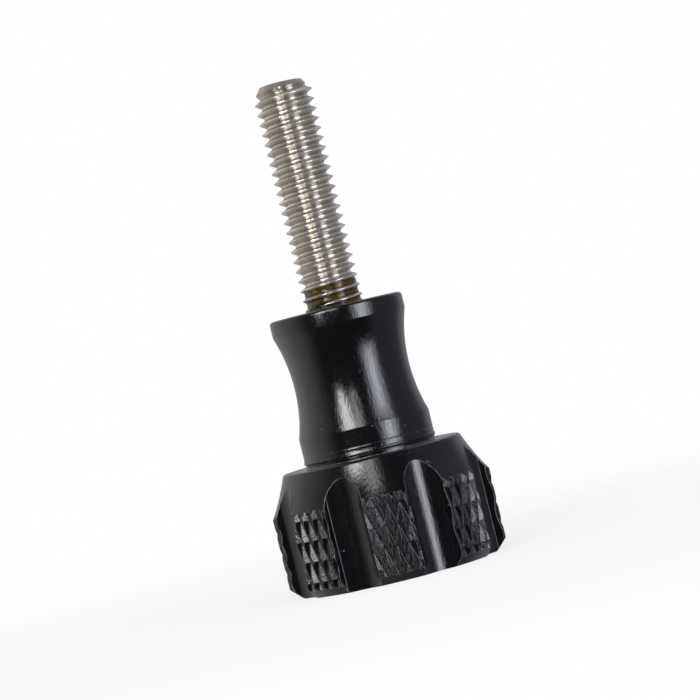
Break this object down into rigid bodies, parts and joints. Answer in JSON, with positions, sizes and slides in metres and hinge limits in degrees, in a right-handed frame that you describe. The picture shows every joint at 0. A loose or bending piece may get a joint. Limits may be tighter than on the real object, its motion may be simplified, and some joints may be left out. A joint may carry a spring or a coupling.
{
  "type": "thumb screw",
  "caption": "Long thumb screw: a black fluted and knurled grip with a waisted neck and flat collar on a fine-threaded steel stud.",
  "frame": {"origin": "centre of the knob's flat base", "axes": "+Z along the stud, from the knob to the tip; a lobe of the grip faces -Y"},
  "size_m": [0.0178, 0.0178, 0.0401],
  "materials": {
    "black_anodised_aluminium": "turned, diamond-knurled and black anodised, satin with fine tool lines",
    "stainless_steel": "bright rolled thread",
    "cured_thread_locker": "clear glossy cured film"
  },
  "bodies": {
    "root": {"knob": "black_anodised_aluminium", "stud": "stainless_steel", "thread_locker": "cured_thread_locker"}
  },
  "joints": []
}
